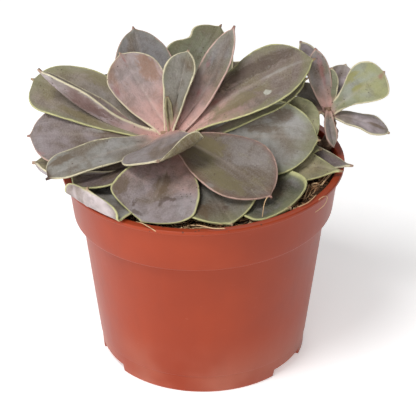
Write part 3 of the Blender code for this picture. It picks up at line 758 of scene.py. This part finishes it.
def pot_profile():
    """The corners of the pot's section as (radius, height, rounding), up its outer side and down its inner
    side."""
    flange_foot = POT_HEIGHT - FLANGE_THICKNESS
    ledge = COLLAR_FOOT_HEIGHT + LEDGE_HEIGHT
    floor = FLOOR_HEIGHT + FLOOR_THICKNESS
    return (
        (FOOT_RADIUS - FOOT_WIDTH, FLOOR_HEIGHT, 0.3),
        (FOOT_RADIUS - FOOT_WIDTH, 0, 0.3),
        (FOOT_RADIUS, 0, 0.4),
        (FOOT_LINE_RADIUS - FOOT_LINE_STEP, FOOT_LINE_HEIGHT - FOOT_LINE_RISE, 0.1),
        (FOOT_LINE_RADIUS, FOOT_LINE_HEIGHT, 0.15),
        (BODY_TOP_RADIUS, COLLAR_FOOT_HEIGHT - BODY_TOP_DROP, 0.7),
        (COLLAR_FOOT_RADIUS - COLLAR_LIP, COLLAR_FOOT_HEIGHT - COLLAR_LIP, 0.9),
        (collar_radius(flange_foot), flange_foot - FLANGE_RISE, 0.5),
        (RIM_RADIUS, flange_foot, 0.55),
        (RIM_RADIUS, POT_HEIGHT, 0.6),
        (collar_radius(POT_HEIGHT) - WALL, POT_HEIGHT, 0.5),
        (collar_radius(ledge) - WALL, ledge, 0.5),
        (body_radius(ledge) - WALL, ledge - LEDGE_DROP, 0.5),
        (body_radius(floor) - WALL, floor, 0.8),
    )


def rounded(corners):
    """The section with each corner rounded off, its long runs cut into short ones."""
    points = [Vector((radius, height)) for radius, height, _ in corners]
    line = [points[0]]
    for before, corner, after, made in zip(points, points[1:], points[2:], corners[1:]):
        reach = min(made[2], (corner - before).length * 0.45, (after - corner).length * 0.45)
        start = corner + (before - corner).normalized() * reach
        end = corner + (after - corner).normalized() * reach
        for step in range(CORNER_STEPS + 1):
            t = step / CORNER_STEPS
            line.append(start * (1 - t) ** 2 + corner * 2 * t * (1 - t) + end * t**2)
    line.append(points[-1])
    fine = [line[0]]
    for low, high in zip(line, line[1:]):
        parts = max(1, round((high - low).length / LONGEST_RUN))
        fine += [low.lerp(high, part / parts) for part in range(1, parts + 1)]
    return fine


def notch_lift(angle, height):
    """How far a point low on the foot is raised where a drainage notch cuts it."""
    half = NOTCH_SPAN / 2
    for middle in NOTCH_ANGLES:
        away = abs((angle - middle + 180) % 360 - 180)
        if away < half:
            return max(0, NOTCH_HEIGHT - height) * smooth(half, half - NOTCH_BLEND, away)
    return 0


def pot_piece(material):
    """The turned pot with its rounded lip, step and foot; thin plastic that isn't quite round any more."""
    skin = Skin()
    rings = []
    for place in rounded(pot_profile()):
        ring = []
        for turn in turns(POT_SIDES):
            slack = SLACK * math.sin(3 * turn + 0.6) * smooth(SLACK_START, SLACK_END, place.y) - SLACK
            radius = place.x + slack
            height = place.y + notch_lift(math.degrees(turn), place.y)
            ring.append(skin.add(warped(ring_point(turn, radius, height)), (turn * radius, height, 0)))
        rings.append(ring)
    skin.tube(rings)
    return drained(skin.made_object("pot_shell", material))


def drain_rods():
    """Rods that stand where the drain holes go, in a circle on the pot's floor."""
    bm = bmesh.new()
    for k in range(DRAIN_HOLES):
        turn = math.tau * (k + 0.5) / DRAIN_HOLES
        bmesh.ops.create_cone(
            bm,
            cap_ends=True,
            segments=DRAIN_SIDES,
            radius1=DRAIN_RADIUS * MM,
            radius2=DRAIN_RADIUS * MM,
            depth=4 * FLOOR_THICKNESS * MM,
            matrix=Matrix.Translation(POT_AXIS + ring_point(turn, DRAIN_CIRCLE_RADIUS, FLOOR_HEIGHT) * MM),
        )
    mesh = bpy.data.meshes.new("drain_rods")
    bm.to_mesh(mesh)
    bm.free()
    return linked(bpy.data.objects.new("drain_rods", mesh))


def drained(pot):
    """Cuts the drain holes through the pot's floor."""
    rods = drain_rods()
    modifier = pot.modifiers.new("drain_holes", "BOOLEAN")
    modifier.object = rods
    graph = bpy.context.evaluated_depsgraph_get()
    pot.data = bpy.data.meshes.new_from_object(pot.evaluated_get(graph))
    pot.data.set_sharp_from_angle(angle=math.radians(SHARP_ANGLE))
    pot.modifiers.clear()
    bpy.data.objects.remove(rods)
    return pot


def soil_height(x, y):
    """The rough top of the soil, banked up a little against the pot."""
    waves = math.sin(0.31 * x + 1.3) * math.sin(0.27 * y - 0.4)
    lumps = noise.fractal(Vector((x * LUMP_SCALE, y * LUMP_SCALE, 3)), 0.9, 2.1, 5)
    bank = 1 + BANK_GROWTH * max(0, x) / BANK_REACH
    bank *= BANK_HEIGHT * smooth(BANK_START, BANK_END, math.hypot(x, y))
    return SOIL_LEVEL + WAVE_HEIGHT * waves + LUMP_HEIGHT * lumps + bank


def soil_piece(material):
    """The peat: a fine crumbly top on a plain body that fills the pot."""
    skin = Skin()
    rings = []
    for height in (FLOOR_HEIGHT + FLOOR_THICKNESS + SOIL_GAP, COLLAR_FOOT_HEIGHT):
        radius = body_radius(height) - WALL - SOIL_GAP
        points = [ring_point(turn, radius, height) for turn in turns(SOIL_SIDES)]
        rings.append([skin.add(warped(point), tuple(point)) for point in points])
    edge = collar_radius(SOIL_LEVEL) - WALL - SOIL_GAP
    for number in range(SOIL_RINGS, 0, -1):
        ring = []
        for turn in turns(SOIL_SIDES):
            x, y, _ = ring_point(turn, edge * number / SOIL_RINGS)
            ring.append(skin.add(warped(Vector((x, y, soil_height(x, y)))), (x, y, 0)))
        rings.append(ring)
    skin.wall(rings)
    skin.faces.append(tuple(reversed(rings[0])))
    centre = skin.add(Vector((0, 0, soil_height(0, 0))), (0, 0, 0))
    for k in range(SOIL_SIDES):
        skin.faces.append((rings[-1][k], rings[-1][(k + 1) % SOIL_SIDES], centre))
    return skin.made_object("soil_bed", material)


def lump_shape():
    """The corners and faces of one rough lump, an icosahedron."""
    bm = bmesh.new()
    bmesh.ops.create_icosphere(bm, subdivisions=1, radius=1)
    corners = [vert.co.copy() for vert in bm.verts]
    faces = [tuple(vert.index for vert in face.verts) for face in bm.faces]
    bm.free()
    return corners, faces


def soil_spot(chance, reach):
    """A place on the soil, more often near the rim, where it shows."""
    radius = reach * chance.random() ** 0.38
    turn = chance.uniform(0, math.tau)
    return math.cos(turn) * radius, math.sin(turn) * radius


def crumbs_piece(material):
    """Crumbs of peat and bark lying on the soil."""
    chance = random.Random(5)
    corners, faces = lump_shape()
    skin = Skin()
    reach = collar_radius(SOIL_LEVEL) - WALL - CRUMB_GAP
    for _ in range(CRUMBS):
        x, y = soil_spot(chance, reach)
        size = CRUMB_LEAST + CRUMB_SPREAD * chance.random() ** 3
        stretch = [chance.uniform(low, high) * size for low, high in ((0.7, 1.7), (0.7, 1.2), (0.5, 1.0))]
        turned = Matrix.Rotation(chance.uniform(0, math.tau), 3, "Z")
        turned = turned @ Matrix.Rotation(chance.uniform(-0.6, 0.6), 3, "X")
        middle = warped(Vector((x, y, soil_height(x, y) + size * 0.25)))
        shade = chance.random()
        first = len(skin.points)
        for corner in corners:
            rough = corner * chance.uniform(0.75, 1.15)
            place = turned @ Vector(a * b for a, b in zip(rough, stretch))
            skin.add(middle + place, (x, y, size), {"shade": shade})
        skin.faces += [tuple(first + index for index in face) for face in faces]
    made = skin.made_object("soil_crumbs", material)
    made.data.shade_flat()
    return made


def add_fibre(skin, line, radius, shade):
    """A thin strand along these points, pointed at both ends."""
    rings = []
    for number, point in enumerate(line):
        ahead = (line[min(number + 1, len(line) - 1)] - line[max(number - 1, 0)]).normalized()
        aside = ahead.orthogonal().normalized()
        up = ahead.cross(aside)
        wide = radius * (0.3 if number in (0, len(line) - 1) else 1)
        ring = []
        for k, turn in enumerate(turns(FIBRE_SIDES)):
            place = point + (aside * math.cos(turn) + up * math.sin(turn)) * wide
            ring.append(skin.add(place, (number, k, 0), {"shade": shade}))
        rings.append(ring)
    skin.tube(rings)


def curved(points):
    """A smooth line through these points."""
    points = [Vector(point) for point in points]
    line = []
    for k, (low, high) in enumerate(zip(points, points[1:])):
        before, after = points[max(k - 1, 0)], points[min(k + 2, len(points) - 1)]
        for step in range(LOOSE_FIBRE_STEPS):
            t = step / LOOSE_FIBRE_STEPS
            line.append(
                low * (1 + t * t * (2 * t - 3))
                + high * (t * t * (3 - 2 * t))
                + (high - before) * 0.5 * (t * (1 - t) ** 2)
                + (after - low) * 0.5 * (t * t * (t - 1))
            )
    return [*line, points[-1]]


def fibres_piece(material):
    """Coir fibres: most lie on the soil in loose bends, a few stand up from it."""
    chance = random.Random(11)
    skin = Skin()
    reach = collar_radius(SOIL_LEVEL) - WALL - FIBRE_GAP
    for _ in range(FIBRES):
        x, y = soil_spot(chance, reach)
        heading = chance.uniform(0, math.tau)
        bend = chance.uniform(-0.25, 0.25)
        stride = chance.uniform(*FIBRE_LENGTHS) / FIBRE_STEPS
        rise = max(0, chance.gauss(0.02, 0.12)) * stride
        radius = FIBRE_LEAST_RADIUS + FIBRE_RADIUS_SPREAD * chance.random() ** 2.5
        line = []
        for step in range(FIBRE_STEPS + 1):
            line.append(warped(Vector((x, y, soil_height(x, y) + radius + 0.35 + rise * step))))
            x += math.cos(heading) * stride
            y += math.sin(heading) * stride
            heading += bend + chance.uniform(-0.12, 0.12)
            if math.hypot(x, y) > reach:
                break
        if len(line) > 3:
            add_fibre(skin, line, radius, chance.random())
    for points, radius in LOOSE_FIBRES:
        add_fibre(skin, curved(points), radius, LOOSE_FIBRE_SHADE)
    return skin.made_object("coir_fibres", material)


class Nodes:
    """Short names for the shader nodes that the materials are made of."""

    def __init__(self, name, roughness, specular=0.5):
        self.material = bpy.data.materials.new(name)
        self.material.use_nodes = True
        self.tree = self.material.node_tree
        self.shader = self.tree.nodes["Principled BSDF"]
        self.shader.inputs["Roughness"].default_value = roughness
        self.shader.inputs["Specular IOR Level"].default_value = specular

    def feed(self, socket, value):
        if isinstance(value, bpy.types.NodeSocket):
            self.tree.links.new(value, socket)
        elif isinstance(value, tuple) and socket.type == "RGBA":
            socket.default_value = (*value, 1)
        else:
            socket.default_value = value

    def node(self, kind, inputs, **settings):
        """The outputs of a new node with these settings, its inputs fed with these values or sockets."""
        made = self.tree.nodes.new(kind)
        for key, value in settings.items():
            setattr(made, key, value)
        for key, value in inputs.items():
            self.feed(made.inputs[key], value)
        return made.outputs

    def read(self, name, output="Fac"):
        return self.node("ShaderNodeAttribute", {}, attribute_name=name)[output]

    def where(self):
        return self.node("ShaderNodeTexCoord", {})["Object"]

    def scaled(self, vector, scale):
        return self.node("ShaderNodeMapping", {"Vector": vector, "Scale": scale})["Vector"]

    def part(self, vector, index):
        """X, Y or Z of a vector."""
        return self.node("ShaderNodeSeparateXYZ", {0: vector})[index]

    def noise(self, vector, scale, detail=4.0, roughness=0.55, distortion=0.0):
        inputs = {"Vector": vector, "Scale": scale, "Detail": detail, "Roughness": roughness}
        return self.node("ShaderNodeTexNoise", {**inputs, "Distortion": distortion})["Fac"]

    def cells(self, vector, scale):
        return self.node("ShaderNodeTexVoronoi", {"Vector": vector, "Scale": scale})["Distance"]

    def range(self, value, low, high, start=0.0, end=1.0, kind="SMOOTHSTEP"):
        inputs = {"Value": value, "From Min": low, "From Max": high, "To Min": start, "To Max": end}
        return self.node("ShaderNodeMapRange", inputs, interpolation_type=kind)["Result"]

    def math(self, operation, a, b=0.0):
        return self.node("ShaderNodeMath", {0: a, 1: b}, operation=operation)[0]

    def plus(self, a, b):
        return self.math("ADD", a, b)

    def times(self, a, b):
        return self.math("MULTIPLY", a, b)

    def one_less(self, value):
        return self.math("SUBTRACT", 1.0, value)

    def mix(self, share, a, b):
        return self.node("ShaderNodeMix", {0: share, 6: a, 7: b}, data_type="RGBA")[2]

    def tint(self, share, body, name):
        """The colour so far with this much of a named tint over it."""
        return self.mix(share, body, linear(TINTS[name]))

    def bump(self, height, depth, before=None):
        inputs = {"Height": height, "Distance": depth}
        if before:
            inputs["Normal"] = before
        return self.node("ShaderNodeBump", inputs)["Normal"]

    def finish(self, colour, roughness=None, normal=None):
        self.feed(self.shader.inputs["Base Color"], colour)
        if roughness is not None:
            self.feed(self.shader.inputs["Roughness"], roughness)
        if normal is not None:
            self.feed(self.shader.inputs["Normal"], normal)
        return self.material


class LeafSkin(Nodes):
    """The layers of a waxy leaf. Most take the colour so far and return it with their own over it."""

    def __init__(self):
        super().__init__("leaf_skin", 0.6, 0.4)
        self.place = self.read("place", "Vector")
        self.along = self.read("along")
        self.edge = self.read("edge")
        self.streaks = self.noise(self.scaled(self.place, (1.0, 0.1, 1.0)), 0.7, 5.0)
        self.clouds = self.noise(self.place, 0.06, 3.0, distortion=0.5)
        self.mottle = self.noise(self.place, 0.22, 6.0, 0.6, 0.4)
        self.smear = self.noise(self.scaled(self.place, (1.0, 0.5, 1.0)), 0.3, 7.0, 0.7, 1.0)
        self.fine = self.noise(self.place, 1.5, 5.0, 0.7)
        self.ragged = self.range(self.smear, 0.3, 0.7, -0.22, 0.22)

    def bloom(self):
        """Bloom that is thick and thin in clouds, with a fine grain and faint streaks along the leaf."""
        bare = self.read("bare_tone", "Color")
        body = self.mix(self.range(self.clouds, 0.44, 0.64, 0.0, 0.7), self.read("tone", "Color"), bare)
        body = self.tint(self.range(self.clouds, 0.44, 0.3, 0.0, 0.35), body, "bloom")
        body = self.tint(self.range(self.mottle, 0.32, 0.58, 0.4, 0.0), body, "mottle")
        body = self.tint(self.range(self.fine, 0.42, 0.62, 0.0, 0.12), body, "grain")
        return self.tint(self.range(self.streaks, 0.45, 0.75, 0.0, 0.12), body, "streak")

    def border(self, body, name, thin, wide, strength):
        """Green or red brown from the margin inwards, as strong and as wide as the leaf says."""
        amount = self.read(name)
        reach = self.times(amount, self.range(self.clouds, 0.3, 0.7, thin, wide))
        nearness = self.one_less(self.math("DIVIDE", self.edge, self.plus(reach, 0.4)))
        share = self.times(self.range(nearness, 0.0, 1.0), amount)
        return self.tint(self.times(share, strength), body, name)

    def pink_root(self, body):
        """Pink that fades from the root outwards."""
        reach = self.plus(self.times(self.read("pink"), 0.8), 0.08)
        fade = self.one_less(self.math("DIVIDE", self.along, reach))
        warmth = self.range(self.plus(fade, self.range(self.mottle, 0.3, 0.7, -0.12, 0.12)), -0.15, 1.0)
        return self.tint(self.times(warmth, 0.85), body, "pink")

    def wear(self):
        """How bare the skin is: smears, fewer on the lower face, and the rubbed places that a leaf names."""
        worn = self.plus(self.smear, self.times(self.read("rub"), 0.12))
        worn = self.times(self.range(worn, 0.58, 0.74), 0.45)
        worn = self.times(worn, self.one_less(self.times(self.read("under"), 0.8)))
        rubbed = self.range(self.plus(self.read("rubbed"), self.ragged), 0.34, 0.7)
        return self.math("MAXIMUM", worn, self.times(rubbed, 0.75))

    def bared(self, body, wear):
        """Where the bloom is rubbed off, the browner skin below it."""
        bare = self.read("bare_tone", "Color")
        return self.mix(wear, body, self.tint(self.range(self.fine, 0.3, 0.7, 0.0, 0.3), bare, "worn"))

    def marked(self, body):
        """Smudges of thicker bloom, red blotches, dark stains, corky scars and a little pale dust."""
        for name, (low, high, colour, strength) in MARKS.items():
            shape = self.range(self.plus(self.read(name), self.ragged), low, high)
            body = self.mix(self.times(shape, strength), body, linear(colour))
        dust = self.times(self.range(self.smear, 0.56, 0.7), self.range(self.fine, 0.35, 0.65))
        return self.tint(self.times(dust, 0.22), body, "dust")

    def edged(self, body):
        """The pale midrib, partly a painted highlight along its ridge, the margin and the hard tip, which is
        dry on some leaves.
        """
        # the pale midrib line is partly a painted highlight on the raised ridge
        rib = self.range(self.math("ABSOLUTE", self.part(self.place, 0)), 0.15, 1.2, 1.0, 0.0)
        rib = self.times(rib, self.range(self.along, 0.25, 0.95, 0.5, 0.1))
        body = self.tint(self.times(rib, 0.45), body, "midrib")
        line = self.plus(self.edge, self.range(self.mottle, 0.3, 0.7, -0.2, 0.3))
        line = self.range(self.math("DIVIDE", line, self.read("margin")), 0.15, 0.8, 1.0, 0.0)
        body = self.mix(self.times(line, 0.82), body, self.read("rim", "Color"))
        body = self.tint(self.times(self.range(self.along, SPUR_START, 0.985), 0.7), body, "tip")
        return self.tint(self.read("dry"), body, "dry")

    def specked(self, body):
        """Specks of soil, in a few places and near the root."""
        specks = self.range(self.cells(self.place, 0.6), 0.14, 0.24, 1.0, 0.0)
        chosen = self.range(self.noise(self.place, 0.12, 2.0), 0.56, 0.64)
        near_root = self.range(self.along, 0.05, 0.3, 0.7, 0.0)
        specks = self.times(specks, self.math("MAXIMUM", chosen, near_root))
        return self.tint(self.times(specks, 0.7), body, "speck")


def leaf_material():
    """A waxy leaf: grey bloom, rubbed off in patches, a pink root, a greener border and a pale margin."""
    make = LeafSkin()
    body = make.border(make.bloom(), "green", 5.0, 14.0, 0.85)
    body = make.border(body, "flush", 4.0, 9.0, 0.8)
    wear = make.wear()
    body = make.bared(make.pink_root(body), wear)
    body = make.specked(make.edged(make.marked(body)))
    relief = make.bump(make.mottle, 0.0005)
    relief = make.bump(make.streaks, 0.00012, relief)
    relief = make.bump(make.fine, 0.00016, relief)
    return make.finish(body, make.math("SUBTRACT", 0.6, make.times(wear, 0.2)), relief)


def stem_material():
    """Corky bark with darker rings."""
    make = Nodes("stem_bark", 0.8)
    place = make.where()
    bark = make.noise(make.scaled(place, (1, 1, 2.5)), 260, 5.0, 0.65)
    rings = make.noise(make.scaled(place, (0.3, 0.3, 3)), 320, 3.0)
    body = make.tint(make.range(bark, 0.3, 0.7), linear(TINTS["bark_dark"]), "bark_light")
    body = make.tint(make.range(rings, 0.55, 0.62, 0.0, 0.6), body, "bark_ring")
    return make.finish(body, None, make.bump(make.plus(bark, rings), 0.0008))


def pot_material():
    """Satin terracotta-coloured plastic: slight mottling, fine scratches, dust near the foot and soil on the
    lip."""
    make = Nodes("terracotta_moulding", 0.38, 0.3)
    place = make.where()
    height = make.part(place, 2)
    mottle = make.noise(place, 22, 3.0)
    flow = make.noise(make.scaled(place, (1, 1, 0.12)), 90, 4.0)
    body = make.tint(make.range(mottle, 0.3, 0.7), linear(TINTS["plastic_dark"]), "plastic_light")
    body = make.tint(make.range(flow, 0.5, 0.7, 0.0, 0.14), body, "plastic_flow")
    scuff = make.range(make.noise(make.scaled(place, (1, 1, 9)), 140, 6.0, 0.75, 0.4), 0.66, 0.72)
    body = make.tint(make.times(scuff, 0.25), body, "scuff")
    dust = make.times(make.range(height, 0.0, 0.03, 1.0, 0.0), make.range(mottle, 0.35, 0.6))
    body = make.tint(make.times(dust, 0.16), body, "foot_dust")
    grains = make.range(make.cells(place, 420), 0.14, 0.2, 1.0, 0.0)
    dirt = make.times(make.times(grains, make.range(height, 0.083, 0.0875)), make.range(mottle, 0.5, 0.56))
    body = make.tint(make.times(dirt, 0.8), body, "lip_soil")
    roughness = make.plus(make.range(mottle, 0.2, 0.8, 0.33, 0.43), make.times(scuff, 0.2))
    relief = make.bump(make.noise(make.scaled(place, (1, 1, 0.35)), 60, 3.0), 0.00025)
    relief = make.bump(make.noise(place, 900, 3.0), 0.00003, relief)
    return make.finish(body, roughness, relief)


def soil_material():
    """Crumbly peat, darker where it is damp."""
    make = Nodes("peat_bed", 0.95, 0.2)
    place = make.where()
    clods = make.noise(place, 420, 7.0, 0.75)
    body = make.tint(make.range(clods, 0.3, 0.72), linear(TINTS["peat_dark"]), "peat_light")
    body = make.tint(make.range(make.noise(place, 90, 3.0), 0.5, 0.68, 0.0, 0.5), body, "peat_damp")
    return make.finish(body, None, make.bump(clods, 0.0016))


def grain_material(name, bits, scale, depth):
    """Loose bits between a dark and a light tint, each bit with a shade of its own."""
    make = Nodes(name, 0.9, 0.25)
    grain = make.noise(make.where(), scale, 5.0, 0.7)
    shade = make.plus(make.times(make.read("shade"), 0.75), make.times(grain, 0.3))
    share = make.range(shade, 0.2, 1.0, kind="LINEAR")
    body = make.tint(share, linear(TINTS[bits + "_dark"]), bits + "_light")
    return make.finish(body, None, make.bump(grain, depth))


def floor_piece():
    """A plain pale floor, wide enough for every view."""
    make = Nodes("pale_floor", 0.9)
    make.finish((FLOOR_WHITE, FLOOR_WHITE, FLOOR_WHITE))
    make.shader.inputs["Emission Color"].default_value = (1, 1, 1, 1)
    make.shader.inputs["Emission Strength"].default_value = FLOOR_GLOW
    mesh = bpy.data.meshes.new("floor")
    square = ((-1, -1, 0), (1, -1, 0), (1, 1, 0), (-1, 1, 0))
    mesh.from_pydata([Vector(corner) * FLOOR_HALF_WIDTH for corner in square], [], [(0, 1, 2, 3)])
    mesh.materials.append(make.material)
    made = linked(bpy.data.objects.new("floor", mesh))
    made.location.z = -FLOOR_DROP


def soft_light(name, place, power, size):
    """A square softbox that looks at the plant."""
    light = bpy.data.lights.new(name, "AREA")
    light.energy = power
    light.size = size
    made = linked(bpy.data.objects.new(name, light))
    made.location = place
    aim = POT_AXIS + Vector((0, 0, LIGHT_AIM_HEIGHT)) - made.location
    made.rotation_euler = aim.to_track_quat("-Z", "Y").to_euler()


def studio():
    world = bpy.data.worlds.new("studio")
    bpy.context.scene.world = world
    world.use_nodes = True
    background = world.node_tree.nodes["Background"]
    background.inputs["Color"].default_value = (1, 1, 1, 1)
    background.inputs["Strength"].default_value = WORLD_STRENGTH
    for name, (place, power, size) in LIGHTS.items():
        soft_light(name, place, power, size)
    bpy.context.scene.view_settings.view_transform = "Standard"


def camera():
    data = bpy.data.cameras.new("camera")
    data.sensor_width = SENSOR_WIDTH
    data.lens = CAMERA_LENS
    made = linked(bpy.data.objects.new("camera", data))
    rise = math.radians(CAMERA_ELEVATION)
    back = Vector((0, -math.cos(rise), math.sin(rise)))
    made.location = POT_AXIS + (Vector(CAMERA_TARGET) + back * CAMERA_DISTANCE) * MM
    made.rotation_euler = back.to_track_quat("Z", "Y").to_euler()
    bpy.context.scene.camera = made


def dress(piece, slot, *nodes):
    """Every piece stands with the pot; some take the place of a plain solid."""
    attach(piece, "root")
    if nodes:
        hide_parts(*nodes)


leaf_skin = leaf_material()
bark = stem_material()
main_leaves = leaves_piece("main_leaves", MAIN_STEM, MAIN_LEAVES, 3.0, leaf_skin)
offset_leaves = leaves_piece("offset_leaves", OFFSET_STEM, OFFSET_LEAVES, 90.0, leaf_skin)
dress(main_leaves, "leaf", "main_rosette")
dress(offset_leaves, "young_leaf", "offset_rosette")
dress(stem_piece("main_stem", MAIN_STEM, MAIN_STEM_RADII, bark), "leaf")
dress(stem_piece("offset_stem", OFFSET_STEM, OFFSET_STEM_RADII, bark), "young_leaf")
dress(pot_piece(pot_material()), "terracotta_plastic", "pot")
dress(soil_piece(soil_material()), "peat", "soil")
dress(crumbs_piece(grain_material("peat_crumbs", "crumb", 700, 0.0005)), "peat")
dress(fibres_piece(grain_material("coir", "coir", 900, 0.0001)), "peat")
floor_piece()
studio()
camera()
